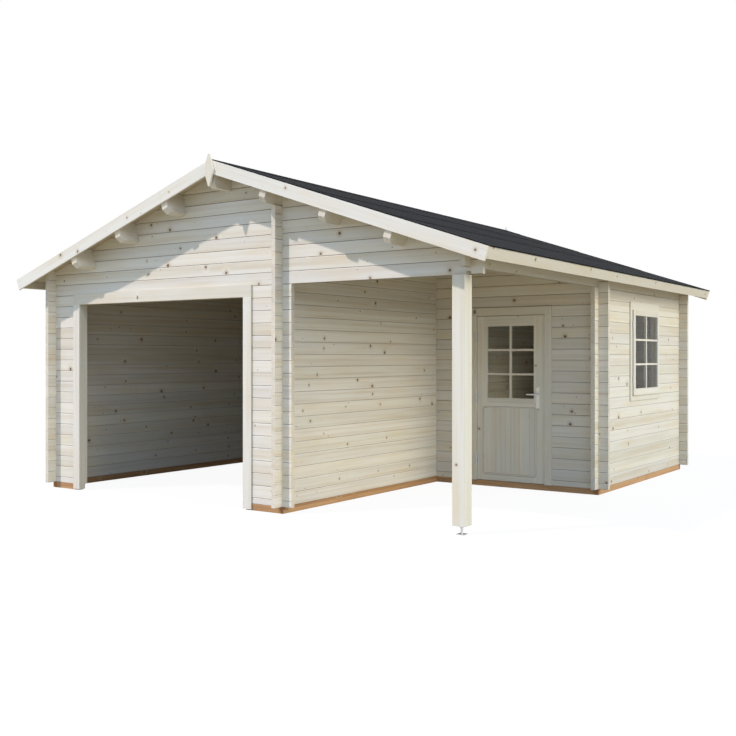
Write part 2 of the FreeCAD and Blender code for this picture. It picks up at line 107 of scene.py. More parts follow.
def spruce_group():
    """Sawn spruce: growth rings round a pith, fibres, streaks and knots, in metres along the grain."""
    group, taken, given = new_group(
        "spruce",
        [("Grain", "Vector", None), ("Board", "Float", 0.0), ("Knots", "Float", 1.0),
         ("Contrast", "Float", 1.0), ("Pale", "Color", (0.8, 0.75, 0.66, 1)),
         ("Dark", "Color", (0.5, 0.38, 0.24, 1))],
        [("Color", "Color"), ("Roughness", "Float"), ("Height", "Float")])
    tree = group
    chance = put(tree, "ShaderNodeTexWhiteNoise", noise_dimensions="1D")
    tree.links.new(taken["Board"], chance.inputs["W"])
    luck = put(tree, "ShaderNodeSeparateColor", chance.outputs["Color"]).outputs
    place = put(tree, "ShaderNodeSeparateXYZ", taken["Grain"]).outputs
    along = sum_of(tree, "MULTIPLY_ADD", luck[0], 37.0, place[0])

    def cloud(scale_along, scale_across, detail):
        fitted = put(tree, "ShaderNodeCombineXYZ",
                     sum_of(tree, "MULTIPLY", along, scale_along),
                     sum_of(tree, "MULTIPLY", place[1], scale_across),
                     sum_of(tree, "MULTIPLY", place[2], scale_across)).outputs[0]
        return noise(tree, fitted, 1.0, detail)

    def knots(spacing, least, most, share, salt):
        """Distance from the nearest knot, and its radius: nearly none where there is no knot."""
        spot = sum_of(tree, "MULTIPLY_ADD", luck[2], 11.0 + salt, sum_of(tree, "DIVIDE", along, spacing))
        cell = put(tree, "ShaderNodeTexVoronoi", voronoi_dimensions="1D")
        tree.links.new(spot, cell.inputs["W"])
        cell.inputs["Scale"].default_value = 1.0
        cell.inputs["Randomness"].default_value = 0.75
        dice = put(tree, "ShaderNodeSeparateColor", cell.outputs["Color"]).outputs
        away = sum_of(tree, "MULTIPLY", sum_of(tree, "SUBTRACT", cell.outputs["W"], spot), spacing)
        level = sum_of(tree, "MULTIPLY_ADD", dice[0], 0.088, -0.044)
        beside = sum_of(tree, "SUBTRACT", place[1], level)
        distance = sum_of(tree, "SQRT", sum_of(tree, "ADD", sum_of(tree, "MULTIPLY", away, away),
                                               sum_of(tree, "MULTIPLY", beside, beside)))
        there = sum_of(tree, "MULTIPLY", sum_of(tree, "LESS_THAN", dice[1], share), taken["Knots"])
        size = sum_of(tree, "MULTIPLY_ADD", sum_of(tree, "POWER", dice[2], 2.0), most - least, least)
        return distance, sum_of(tree, "MULTIPLY_ADD", size, there, 0.00001)

    big_away, big_size = knots(spacing=0.62, least=0.006, most=0.018, share=0.42, salt=0.0)
    pin_away, pin_size = knots(spacing=0.29, least=0.0025, most=0.006, share=0.36, salt=5.0)
    swirl = sum_of(tree, "MULTIPLY", big_size, ease(tree, sum_of(tree, "DIVIDE", big_away, big_size),
                                                    1.0, 4.5, 1.6, 0.0))
    wander = sum_of(tree, "MULTIPLY_ADD", cloud(1.1, 7.0, 2.0), 0.03, -0.015)
    level = sum_of(tree, "ADD", sum_of(tree, "ADD", place[1], wander),
                   sum_of(tree, "MULTIPLY_ADD", luck[1], 0.15, -0.075))
    depth = sum_of(tree, "ADD", place[2], sum_of(tree, "MULTIPLY_ADD", luck[2], 0.05, 0.035))
    radius = sum_of(tree, "SQRT", sum_of(tree, "ADD", sum_of(tree, "MULTIPLY", level, level),
                                         sum_of(tree, "MULTIPLY", depth, depth)))
    year = sum_of(tree, "FRACT", sum_of(tree, "DIVIDE", sum_of(tree, "ADD", radius, swirl), ring_width))
    late = sum_of(tree, "MULTIPLY", ease(tree, year, 0.35, 0.9), ease(tree, year, 0.9, 1.0, 1.0, 0.0))
    fibres = cloud(5.0, 620.0, 1.0)
    streaks = cloud(0.8, 26.0, 3.0)
    shade = sum_of(tree, "MULTIPLY_ADD", late, 0.34,
                   sum_of(tree, "MULTIPLY_ADD", ease(tree, streaks, 0.35, 0.75), 0.42,
                          sum_of(tree, "MULTIPLY_ADD", fibres, 0.3, -0.1)))
    wood = colour_mix(tree, sum_of(tree, "MULTIPLY", shade, taken["Contrast"]), taken["Pale"], taken["Dark"])
    tone = put(tree, "ShaderNodeMapRange", chance.outputs["Value"], 0.0, 1.0, 0.93, 1.03).outputs[0]
    warmth = put(tree, "ShaderNodeMapRange", luck[1], 0.0, 1.0, 0.97, 1.02).outputs[0]
    tint = put(tree, "ShaderNodeCombineColor", tone, sum_of(tree, "MULTIPLY", tone, 0.995),
               sum_of(tree, "MULTIPLY", tone, warmth)).outputs[0]
    wood = colour_mix(tree, 1.0, wood, tint, "MULTIPLY")
    flush = ease(tree, cloud(1.7, 8.0, 2.0), 0.45, 0.7, 0.0, 0.75)
    wood = colour_mix(tree, flush, wood, colour_mix(tree, 1.0, wood, (0.99, 0.94, 0.86, 1), "MULTIPLY"))
    halo = ease(tree, sum_of(tree, "DIVIDE", big_away, big_size), 1.0, 3.2, 0.45, 0.0)
    wood = colour_mix(tree, halo, wood, (0.50, 0.36, 0.21, 1))
    heart = ease(tree, sum_of(tree, "DIVIDE", big_away, big_size), 0.7, 1.1, 0.85, 0.0)
    wood = colour_mix(tree, heart, wood, (0.075, 0.055, 0.04, 1))
    pin = ease(tree, sum_of(tree, "DIVIDE", pin_away, pin_size), 0.7, 1.25, 0.85, 0.0)
    wood = colour_mix(tree, pin, wood, (0.12, 0.09, 0.065, 1))
    tree.links.new(wood, given["Color"])
    tree.links.new(ease(tree, shade, 0.0, 0.8, 0.78, 0.62), given["Roughness"])
    height = sum_of(tree, "MULTIPLY_ADD", late, 0.00012, sum_of(tree, "MULTIPLY_ADD", fibres, 0.00022,
                    sum_of(tree, "MULTIPLY", heart, -0.0004)))
    tree.links.new(height, given["Height"])
    return group


def course_group():
    """Which log of a wall a point lies in, its place in that log, painted shade over each joint and the
    downward chamfer above it, and a painted highlight on the upward chamfer below it.
    """
    group, taken, given = new_group(
        "log_course",
        [("Place", "Vector", None), ("First joint", "Float", 0.0), ("Course", "Float", log_height),
         ("Joint half", "Float", v_joint_half), ("Wall", "Float", 0.0)],
        [("Grain", "Vector"), ("Board", "Float"), ("Joint", "Float"), ("Edge", "Float")])
    tree = group
    place = put(tree, "ShaderNodeSeparateXYZ", taken["Place"]).outputs
    risen = sum_of(tree, "DIVIDE", sum_of(tree, "SUBTRACT", place[1], taken["First joint"]), taken["Course"])
    number = sum_of(tree, "FLOOR", risen)
    inside = sum_of(tree, "MULTIPLY", sum_of(tree, "SUBTRACT", sum_of(tree, "SUBTRACT", risen, number), 0.5),
                    taken["Course"])
    tree.links.new(put(tree, "ShaderNodeCombineXYZ", place[0], inside, place[2]).outputs[0], given["Grain"])
    tree.links.new(sum_of(tree, "MULTIPLY_ADD", taken["Wall"], 23.71,
                          sum_of(tree, "MULTIPLY", number, 7.31)), given["Board"])
    # Painted shade: Joint is 1 over each joint and over the shaded chamfer on the underside of the log above
    # it.
    half = sum_of(tree, "MULTIPLY", taken["Course"], 0.5)
    over = sum_of(tree, "DIVIDE", sum_of(tree, "ADD", half, inside), taken["Joint half"])
    under = sum_of(tree, "DIVIDE", sum_of(tree, "SUBTRACT", half, inside), taken["Joint half"])
    dark = sum_of(tree, "MAXIMUM", ease(tree, over, 0.7, 1.15, 1.0, 0.0),
                  ease(tree, under, 0.1, 0.35, 1.0, 0.0))
    tree.links.new(dark, given["Joint"])
    # Painted highlight: Edge is 1 on the upward chamfer just below each joint, where the sun catches it.
    pale = sum_of(tree, "MULTIPLY", ease(tree, under, 0.3, 0.5), ease(tree, under, 0.9, 1.3, 1.0, 0.0))
    tree.links.new(pale, given["Edge"])
    return group


def end_grain_group():
    """1 on faces sawn across the grain, where axis is the way the grain runs."""
    group, taken, given = new_group(
        "sawn_end", [("Normal", "Vector", None), ("Axis", "Vector", None)], [("End", "Float")])
    turned = put(group, "ShaderNodeVectorMath", taken["Normal"], taken["Axis"], operation="DOT_PRODUCT")
    across = sum_of(group, "ABSOLUTE", turned.outputs["Value"])
    group.links.new(ease(group, across, 0.75, 0.9), given["End"])
    return group


spruce = spruce_group()
log_course = course_group()
sawn_end = end_grain_group()
bare_spruce = {"Pale": (0.808, 0.770, 0.667, 1), "Dark": (0.64, 0.555, 0.41, 1)}


def use(tree, group, **inputs):
    made = put(tree, "ShaderNodeGroup", node_tree=group)
    for name, value in inputs.items():
        socket = made.inputs[name.replace("_", " ")]
        if isinstance(value, bpy.types.NodeSocket):
            tree.links.new(value, socket)
        else:
            socket.default_value = value
    return made.outputs


def start_material(name):
    """A material with a bare shader, and the outputs of its coordinates and their three numbers."""
    material = bpy.data.materials.new(name)
    material.use_nodes = True
    tree = material.node_tree
    surface = tree.nodes["Principled BSDF"]
    spot = put(tree, "ShaderNodeTexCoord").outputs
    place = put(tree, "ShaderNodeSeparateXYZ", spot["Object"]).outputs
    return material, tree, surface, spot, place


def raise_surface(tree, surface, height, strength=1.0):
    """Lets a height in metres bend the surface's shading."""
    bump = put(tree, "ShaderNodeBump")
    bump.inputs["Strength"].default_value = strength
    bump.inputs["Distance"].default_value = 1.0
    tree.links.new(height, bump.inputs["Height"])
    tree.links.new(bump.outputs[0], surface.inputs["Normal"])


def finish_wood(tree, surface, spot, wood, axis, joint=None, edge=None, end_tone=(0.95, 0.92, 0.88, 1),
                joint_shade=0.85):
    """Wires the wood into the shader, with darker sawn ends, painted shade in the joints and a painted
    highlight along the eased edges that face up.
    """
    end = use(tree, sawn_end, Normal=spot["Normal"], Axis=axis)["End"]
    colour = colour_mix(tree, sum_of(tree, "MULTIPLY", end, 0.8), wood["Color"],
                        colour_mix(tree, 1.0, wood["Color"], end_tone, "MULTIPLY"))
    side = sum_of(tree, "SUBTRACT", 1.0, end)
    if edge is not None:
        # Painted highlight on the eased edges that face up.
        colour = colour_mix(tree, sum_of(tree, "MULTIPLY", edge, 0.6), colour, (0.93, 0.91, 0.87, 1))
    # Painted shade in the joints, fainter on sawn ends.
    if joint is not None:
        share = sum_of(tree, "MULTIPLY", sum_of(tree, "MULTIPLY", joint, joint_shade),
                       sum_of(tree, "MULTIPLY_ADD", side, 0.7, 0.3))
        colour = colour_mix(tree, share, colour, (0.22, 0.160, 0.10, 1))
    tree.links.new(colour, surface.inputs["Base Color"])
    tree.links.new(wood["Roughness"], surface.inputs["Roughness"])
    surface.inputs["Specular IOR Level"].default_value = 0.25
    raise_surface(tree, surface, wood["Height"], 0.7)


def log_material(name, runs_along_x, joint_shade):
    """The finish of a wall's logs; the last argument sets how dark the painted shade in its joints is."""
    material, tree, surface, spot, place = start_material(name)
    if runs_along_x:
        grain = put(tree, "ShaderNodeCombineXYZ", place[0], place[2], place[1]).outputs[0]
        wall = sum_of(tree, "FLOOR", sum_of(tree, "MULTIPLY_ADD", place[1], 0.5, 0.3))
        first, axis = across_first_joint, (1, 0, 0)
    else:
        grain = put(tree, "ShaderNodeCombineXYZ", place[1], place[2], place[0]).outputs[0]
        wall = sum_of(tree, "ADD", sum_of(tree, "FLOOR", place[0]), 9.0)
        first, axis = along_first_joint, (0, 1, 0)
    log = use(tree, log_course, Place=grain, First_joint=first, Wall=wall)
    end = use(tree, sawn_end, Normal=spot["Normal"], Axis=axis)["End"]
    wood = use(tree, spruce, Grain=log["Grain"], Board=log["Board"],
               Knots=sum_of(tree, "SUBTRACT", 1.0, end), **bare_spruce)
    finish_wood(tree, surface, spot, wood, axis, log["Joint"], log["Edge"], joint_shade=joint_shade)
    return material


def dress(material, *names):
    """Gives CAD pieces or new ones their finish."""
    for name in names:
        piece = parts[name] if name in parts else bpy.data.objects[name]
        piece.data.materials.clear()
        piece.data.materials.append(material)


# The last number is the strength of the painted shade in the log joints.
dress(log_material("log_across", True, 0.85), "front_wall_left", "front_wall_right", "front_gable",
      "back_wall", "store_front_left", "store_front_right", "log_over_door", "store_front_over_door")
dress(log_material("log_along", False, 0.6), "left_wall", "right_wall", "partition_wall",
      "carport_side_beam")

# The foundation: sawn beams of pressure-treated pine laid flat on the ground under every wall.
# The wood is orange-brown and rougher than the logs, with darker sawn ends.
treated = {"Pale": (0.62, 0.37, 0.185, 1), "Dark": (0.33, 0.165, 0.065, 1)}
beam_middle = 0.03
for name, node, along, across in (("treated_beam_along", "foundation_long_beams", 1, 0),
                                  ("treated_beam_across", "foundation_cross_beams", 0, 1)):
    material, tree, surface, spot, place = start_material(name)
    grain = put(tree, "ShaderNodeCombineXYZ", place[along],
                sum_of(tree, "SUBTRACT", place[2], beam_middle), place[across])
    board = sum_of(tree, "FLOOR", place[0])
    if across:
        board = sum_of(tree, "MULTIPLY_ADD", board, 3.0, sum_of(tree, "FLOOR", place[1]))
    wood = use(tree, spruce, Grain=grain.outputs[0], Board=board, Contrast=1.3, **treated)
    finish_wood(tree, surface, spot, wood, (across, along, 0), end_tone=(0.7, 0.6, 0.5, 1))
    dress(material, node)

# The roof's timber: planed purlins under the boards, and 19 mm tongued boards that run from the
# ridge down to the eaves with a V joint on the underside.
roof_slope = math.radians(18.9)
ridge_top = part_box("bargeboards_front")[1].z
roof_board_width = 0.112
purlin_step = 0.6932
purlin_middle = 0.12


def slope_group():
    """Place on a roof slope: down it from the ridge, square below its top, and along the ridge."""
    group, taken, given = new_group(
        "on_slope", [("Place", "Vector", None)],
        [("Down", "Float"), ("Below", "Float"), ("Along", "Float"), ("Side", "Float")])
    tree = group
    place = put(tree, "ShaderNodeSeparateXYZ", taken["Place"]).outputs
    out = sum_of(tree, "ABSOLUTE", place[0])
    drop = sum_of(tree, "SUBTRACT", ridge_top, place[2])
    cos_s, sin_s = math.cos(roof_slope), math.sin(roof_slope)
    tree.links.new(sum_of(tree, "MULTIPLY_ADD", out, cos_s, sum_of(tree, "MULTIPLY", drop, sin_s)),
                   given["Down"])
    tree.links.new(sum_of(tree, "MULTIPLY_ADD", out, -sin_s, sum_of(tree, "MULTIPLY", drop, cos_s)),
                   given["Below"])
    tree.links.new(place[1], given["Along"])
    tree.links.new(sum_of(tree, "SIGN", place[0]), given["Side"])
    return group


on_slope = slope_group()
material, tree, surface, spot, place = start_material("purlin_spruce")
slope = use(tree, on_slope, Place=spot["Object"])
step = sum_of(tree, "DIVIDE", slope["Down"], purlin_step)
number = sum_of(tree, "ROUND", step)
aside = sum_of(tree, "MULTIPLY", sum_of(tree, "SUBTRACT", step, number), purlin_step)
grain = put(tree, "ShaderNodeCombineXYZ", place[1], sum_of(tree, "SUBTRACT", slope["Below"], purlin_middle),
            aside)
board = sum_of(tree, "MULTIPLY_ADD", number, slope["Side"], 40.0)
wood = use(tree, spruce, Grain=grain.outputs[0], Board=board, **bare_spruce)
finish_wood(tree, surface, spot, wood, (0, 1, 0))
dress(material, "purlins_left", "purlins_right", "ridge_purlin")

material, tree, surface, spot, place = start_material("roof_board_spruce")
slope = use(tree, on_slope, Place=spot["Object"])
sideways = put(tree, "ShaderNodeCombineXYZ", slope["Down"], slope["Along"], slope["Below"]).outputs[0]
lane = use(tree, log_course, Place=sideways, First_joint=0.02, Course=roof_board_width,
           Joint_half=0.0035, Wall=sum_of(tree, "MULTIPLY", slope["Side"], 3.0))
wood = use(tree, spruce, Grain=lane["Grain"], Board=lane["Board"],
           Pale=(0.63, 0.55, 0.42, 1), Dark=(0.47, 0.37, 0.24, 1))
# Painted shade in the V joints between the boards.
finish_wood(tree, surface, spot, wood, (math.cos(roof_slope), 0, math.sin(roof_slope)), lane["Joint"],
            joint_shade=0.8)
dress(material, "roof_boards_left", "roof_boards_right")

# The roof's edge boards: bargeboards up both gables, a fascia along each eave, and a pointed board
# over the joint at the ridge. They are planed spruce, screwed on.
planed = {"Pale": (0.812, 0.783, 0.680, 1), "Dark": (0.67, 0.585, 0.437, 1)}
barge_middle = 0.058
fascia_middle = 0.047
material, tree, surface, spot, place = start_material("bargeboard_spruce")
slope = use(tree, on_slope, Place=spot["Object"])
grain = put(tree, "ShaderNodeCombineXYZ", slope["Down"],
            sum_of(tree, "SUBTRACT", slope["Below"], barge_middle),
            place[1]).outputs[0]
board = sum_of(tree, "MULTIPLY_ADD", sum_of(tree, "SIGN", place[1]), 5.0, slope["Side"])
wood = use(tree, spruce, Grain=grain, Board=board, Contrast=0.8, **planed)
finish_wood(tree, surface, spot, wood, (math.cos(roof_slope), 0, -math.sin(roof_slope)))
dress(material, "bargeboards_front", "bargeboards_back")

material, tree, surface, spot, place = start_material("fascia_spruce")
slope = use(tree, on_slope, Place=spot["Object"])
grain = put(tree, "ShaderNodeCombineXYZ", place[1], sum_of(tree, "SUBTRACT", slope["Below"], fascia_middle),
            slope["Down"]).outputs[0]
wood = use(tree, spruce, Grain=grain, Board=sum_of(tree, "ADD", slope["Side"], 60.0), Contrast=0.8,
           Pale=(0.710, 0.675, 0.580, 1), Dark=planed["Dark"])
finish_wood(tree, surface, spot, wood, (0, 1, 0))
dress(material, "eave_fascia_left", "eave_fascia_right")

material, tree, surface, spot, place = start_material("upright_spruce")
grain = put(tree, "ShaderNodeCombineXYZ", place[2], place[0], place[1]).outputs[0]
board = sum_of(tree, "MULTIPLY_ADD", sum_of(tree, "SIGN", place[1]), 2.0, 71.0)
wood = use(tree, spruce, Grain=grain, Board=board, Contrast=0.6, Knots=0.0, **planed)
finish_wood(tree, surface, spot, wood, (0, 0, 1))
dress(material, "finial_front", "finial_back")

# The roofing felt: bitumen felt in widths of a metre, laid along the eaves from the bottom up, each
# width lapped over the one below it, with a strip folded over the ridge.
felt_low, felt_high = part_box("roof_felt_right")
eave_out = 2.5500 + 0.2854
felt_drip = 0.006
lap_width = 0.92
lap_step = 0.0035
cap_half = 0.16
stations = 49


def slope_point(side, down, below, y):
    """A point on a slope, down from the ridge and square below the top of its boards."""
    cos_s, sin_s = math.cos(roof_slope), math.sin(roof_slope)
    return Vector((side * (down * cos_s - below * sin_s), y, ridge_top - down * sin_s - below * cos_s))


def finished(name, mesh, body):
    """The mesh as a named piece that rides on a body."""
    made = bpy.data.objects.new(name, bpy.data.meshes.new(name))
    bmesh.ops.recalc_face_normals(mesh, faces=mesh.faces)
    mesh.to_mesh(made.data)
    mesh.free()
    bpy.context.scene.collection.objects.link(made)
    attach(made, body)


def strip_mesh(name, sections):
    """A closed strip through sections, each a list of points in the same order."""
    mesh = bmesh.new()
    rings = [[mesh.verts.new(point) for point in section] for section in sections]
    count = len(rings[0])
    for low, high in zip(rings, rings[1:]):
        for i in range(count):
            j = (i + 1) % count
            mesh.faces.new((low[i], low[j], high[j], high[i]))
    mesh.faces.new(rings[0])
    mesh.faces.new(list(reversed(rings[-1])))
    finished(name, mesh, "building")


def felt_station(number):
    """How far back along the roof one of the strip's sections lies."""
    return felt_low.y + (felt_high.y - felt_low.y) * number / (stations - 1)


random.seed(5)
slope_end = eave_out / math.cos(roof_slope) + felt_drip
for side, word in ((-1, "left"), (1, "right")):
    joints = [slope_end - lap_width * n for n in range(4)]
    sections = []
    for y in map(felt_station, range(stations)):
        sag = [random.uniform(-0.0004, 0.0004) for _ in joints]
        top = [(joints[0], -0.006 - lap_step)]
        for n, down in enumerate(joints[1:]):
            top.append((down + 0.001, -0.0064 + sag[n]))
            top.append((down, -0.0064 - lap_step + sag[n]))
        top.append((0.02, -0.0068))
        outline = [(0.02, -0.0061), (joints[0], -0.0061)] + top
        sections.append([slope_point(side, down, below, y) for down, below in outline])
    strip_mesh("felt_laps_" + word, sections)

sections = []
for y in map(felt_station, range(stations)):
    lift = random.uniform(-0.0003, 0.0003)
    under = [slope_point(-1, cap_half, -0.0072, y), Vector((0, y, ridge_top + 0.0094)),
             slope_point(1, cap_half, -0.0072, y)]
    over = [slope_point(1, cap_half, -0.0092 + lift, y), slope_point(1, 0.01, -0.0098 + lift, y),
            slope_point(-1, 0.01, -0.0098 + lift, y), slope_point(-1, cap_half, -0.0092 + lift, y)]
    sections.append(under + over)
strip_mesh("felt_ridge_strip", sections)

material, tree, surface, spot, place = start_material("bitumen_felt")
speck = noise(tree, spot["Object"], 420.0)
slope = use(tree, on_slope, Place=spot["Object"])
fitted = put(tree, "ShaderNodeCombineXYZ", sum_of(tree, "MULTIPLY", slope["Down"], 0.9),
             sum_of(tree, "MULTIPLY", slope["Along"], 3.2), slope["Side"]).outputs[0]
patch = noise(tree, fitted, 1.3, 5.0)
from_eave = sum_of(tree, "DIVIDE", sum_of(tree, "SUBTRACT", slope_end, slope["Down"]), lap_width)
strip = put(tree, "ShaderNodeTexWhiteNoise", noise_dimensions="1D")
tree.links.new(sum_of(tree, "MULTIPLY_ADD", slope["Side"], 7.3, sum_of(tree, "FLOOR", from_eave)),
               strip.inputs["W"])
felt_tone = sum_of(tree, "MULTIPLY_ADD", strip.outputs["Value"], 0.35,
                   sum_of(tree, "MULTIPLY", ease(tree, patch, 0.35, 0.68), 0.65))
felt_colour = colour_mix(tree, felt_tone, (0.0035, 0.0045, 0.006, 1), (0.0105, 0.012, 0.0148, 1))
lap = sum_of(tree, "MULTIPLY", sum_of(tree, "FRACT", from_eave), lap_width)
felt_colour = colour_mix(tree, ease(tree, lap, 0.002, 0.012, 0.8, 0.0), felt_colour,
                         (0.002, 0.002, 0.003, 1))
felt_colour = colour_mix(tree, ease(tree, speck, 0.56, 0.72, 0.0, 0.4), felt_colour,
                         (0.025, 0.029, 0.034, 1))
tree.links.new(felt_colour, surface.inputs["Base Color"])
tree.links.new(ease(tree, speck, 0.3, 0.7, 0.95, 0.72), surface.inputs["Roughness"])
surface.inputs["Specular IOR Level"].default_value = 0.06
raise_surface(tree, surface, sum_of(tree, "MULTIPLY", speck, 0.0006))
dress(material, "roof_felt_left", "roof_felt_right", "felt_laps_left", "felt_laps_right", "felt_ridge_strip")

# The carport's post: a planed spruce post with eased edges under the front beam, on a galvanised
# steel foot whose nut sets its height.
post_low, post_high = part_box("carport_post")
post_mid = (post_low + post_high) / 2
material, tree, surface, spot, place = start_material("post_spruce")
grain = put(tree, "ShaderNodeCombineXYZ", place[2], sum_of(tree, "SUBTRACT", place[0], post_mid.x),
            sum_of(tree, "SUBTRACT", place[1], post_mid.y)).outputs[0]
wood = use(tree, spruce, Grain=grain, Board=83.0, Contrast=0.8, **planed)
finish_wood(tree, surface, spot, wood, (0, 0, 1))
dress(material, "carport_post")


def metal_material(name, colour, patchy, rough_low, rough_high, scale):
    """Zinc or satin steel: a mottled or brushed tone in colour and roughness."""
    material, tree, surface, spot, place = start_material(name)
    mottle = put(tree, "ShaderNodeTexVoronoi", spot["Object"])
    mottle.inputs["Scale"].default_value = scale
    grime = noise(tree, spot["Object"], scale * 2.0)
    share = sum_of(tree, "MULTIPLY", mottle.outputs["Color"], patchy)
    tree.links.new(colour_mix(tree, share, colour, tuple(c * 0.62 for c in colour[:3]) + (1,)),
                   surface.inputs["Base Color"])
    tree.links.new(ease(tree, grime, 0.3, 0.7, rough_low, rough_high), surface.inputs["Roughness"])
    surface.inputs["Metallic"].default_value = 1.0
    raise_surface(tree, surface, sum_of(tree, "MULTIPLY", grime, 0.00005))
    return material


zinc = metal_material("zinc_coated_steel", (0.66, 0.68, 0.70, 1), 0.5, 0.38, 0.58, 160.0)
satin = metal_material("satin_steel", (0.62, 0.625, 0.62, 1), 0.12, 0.26, 0.36, 700.0)
dress(zinc, "post_foot", "hinge_frame_halves", "hinge_leaf_halves")
dress(satin, "lock_plates", "door_handle")

# The casings and linings: planed boards round the drive-in doorway, the store room's door and the
# window, upright at the sides and laid across at the head and sill.
lining_thickness = 0.028
leaf_gap = 0.006
sash_gap = 0.003


def boards_group():
    """Turns the grain between upright boards and boards laid across, for a frame of boards."""
    group, taken, given = new_group(
        "frame_of_boards",
        [("Across", "Float", 0.0), ("Through", "Float", 0.0), ("Up", "Float", 0.0),
         ("Middle", "Float", 0.0), ("Half gap", "Float", 0.0), ("Head", "Float", 9.0),
         ("Sill", "Float", -9.0), ("Head board", "Float", 0.05)],
        [("Grain", "Vector"), ("Board", "Float")])
    tree = group
    off = sum_of(tree, "SUBTRACT", taken["Across"], taken["Middle"])
    between = sum_of(tree, "LESS_THAN", sum_of(tree, "ABSOLUTE", off), taken["Half gap"])
    above = sum_of(tree, "GREATER_THAN", taken["Up"], taken["Head"])
    below = sum_of(tree, "LESS_THAN", taken["Up"], taken["Sill"])
    laid = sum_of(tree, "MAXIMUM", between, sum_of(tree, "MAXIMUM", above, below))
    edge = sum_of(tree, "MULTIPLY", sum_of(tree, "SIGN", off),
                  sum_of(tree, "ADD", taken["Half gap"], taken["Head board"]))
    upright_off = sum_of(tree, "SUBTRACT", off, edge)
    upright = put(tree, "ShaderNodeCombineXYZ", taken["Up"], upright_off, taken["Through"]).outputs[0]
    head_off = sum_of(tree, "PINGPONG", taken["Up"], taken["Head board"])
    across = put(tree, "ShaderNodeCombineXYZ", taken["Across"],
                 sum_of(tree, "SUBTRACT", head_off, sum_of(tree, "MULTIPLY", taken["Head board"], 0.5)),
                 taken["Through"]).outputs[0]
    turned = put(tree, "ShaderNodeMix", data_type="VECTOR")
    tree.links.new(laid, turned.inputs[0])
    tree.links.new(upright, turned.inputs[4])
    tree.links.new(across, turned.inputs[5])
    tree.links.new(turned.outputs[1], given["Grain"])
    storey = sum_of(tree, "FLOOR", sum_of(tree, "MULTIPLY", taken["Up"], 2.2))
    hand = sum_of(tree, "SIGN", off)
    number = sum_of(tree, "MULTIPLY_ADD", laid, sum_of(tree, "ADD", storey, 4.0), hand)
    tree.links.new(sum_of(tree, "MULTIPLY_ADD", laid, sum_of(tree, "MULTIPLY", hand, -1.0), number),
                   given["Board"])
    return group


frame_of_boards = boards_group()


def ring_group():
    """1 on a thin line along a rectangle with rounded corners, seen square to its plane."""
    group, taken, given = new_group(
        "ring_line",
        [("Across", "Float", 0.0), ("Up", "Float", 0.0), ("Middle", "Float", 0.0),
         ("Centre", "Float", 0.0), ("Half width", "Float", 1.0), ("Half height", "Float", 1.0),
         ("Radius", "Float", 0.02), ("Half line", "Float", 0.005), ("Fade", "Float", 0.004)],
        [("Line", "Float")])
    tree = group

    def beyond(value, middle, half):
        away = sum_of(tree, "ABSOLUTE", sum_of(tree, "SUBTRACT", value, middle))
        return sum_of(tree, "ADD", sum_of(tree, "SUBTRACT", away, half), taken["Radius"])

    out_x = beyond(taken["Across"], taken["Middle"], taken["Half width"])
    out_z = beyond(taken["Up"], taken["Centre"], taken["Half height"])
    corner_x, corner_z = (sum_of(tree, "MAXIMUM", value, 0.0) for value in (out_x, out_z))
    corner = sum_of(tree, "SQRT", sum_of(tree, "ADD", sum_of(tree, "MULTIPLY", corner_x, corner_x),
                                         sum_of(tree, "MULTIPLY", corner_z, corner_z)))
    inner = sum_of(tree, "MINIMUM", sum_of(tree, "MAXIMUM", out_x, out_z), 0.0)
    distance = sum_of(tree, "SUBTRACT", sum_of(tree, "ADD", corner, inner), taken["Radius"])
    off = sum_of(tree, "SUBTRACT", sum_of(tree, "ABSOLUTE", distance), taken["Half line"])
    tree.links.new(ease(tree, sum_of(tree, "DIVIDE", off, taken["Fade"]), 0.0, 1.0, 1.0, 0.0), given["Line"])
    return group


def framed_material(name, plane, middle, half_gap=0.0, head=9.0, sill=-9.0, board=0.05, seed=0.0,
                    knots=1.0, ring=None):
    """Planed spruce for a frame of boards that stands in the XZ plane, or in YZ, with an optional ring of
    painted shade.
    """
    material, tree, surface, spot, place = start_material(name)
    across, through = (place[0], place[1]) if plane == "XZ" else (place[1], place[0])
    boards = use(tree, frame_of_boards, Across=across, Through=through, Up=place[2], Middle=middle,
                 Half_gap=half_gap, Head=head, Sill=sill, Head_board=board)
    wood = use(tree, spruce, Grain=boards["Grain"], Board=sum_of(tree, "ADD", boards["Board"], seed),
               Contrast=0.85, Knots=knots, **planed)
    line = None
    if ring:
        # Painted shade: a dark line round the door's bead, as if the foot of the bead were shaded.
        line = use(tree, ring_group(), Across=across, Up=place[2], **ring)["Line"]
    finish_wood(tree, surface, spot, wood, (0, 0, 1), line, end_tone=(0.96, 0.93, 0.88, 1), joint_shade=0.75)
    return material


opening_low, opening_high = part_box("garage_lining")
opening_mid = (opening_low.x + opening_high.x) / 2
opening_head = opening_high.z - lining_thickness
for node, seed in (("garage_casing", 101.0), ("garage_lining", 113.0), ("garage_inner_trim", 127.0)):
    dress(framed_material(node + "_spruce", "XZ", opening_mid, head=opening_head, seed=seed), node)
door_low, door_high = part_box("door_leaf")
door_mid = (door_low.x + door_high.x) / 2
for node, seed in (("door_casing", 139.0), ("door_frame", 151.0)):
    dress(framed_material(node + "_spruce", "XZ", door_mid, head=door_high.z + leaf_gap, seed=seed), node)
sash_low, sash_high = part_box("window_sash")
sash_mid = (sash_low.y + sash_high.y) / 2
for node, seed in (("window_casing", 163.0), ("window_frame", 179.0)):
    dress(framed_material(node + "_spruce", "YZ", sash_mid, head=sash_high.z + sash_gap,
                          sill=sash_low.z - sash_gap, seed=seed), node)

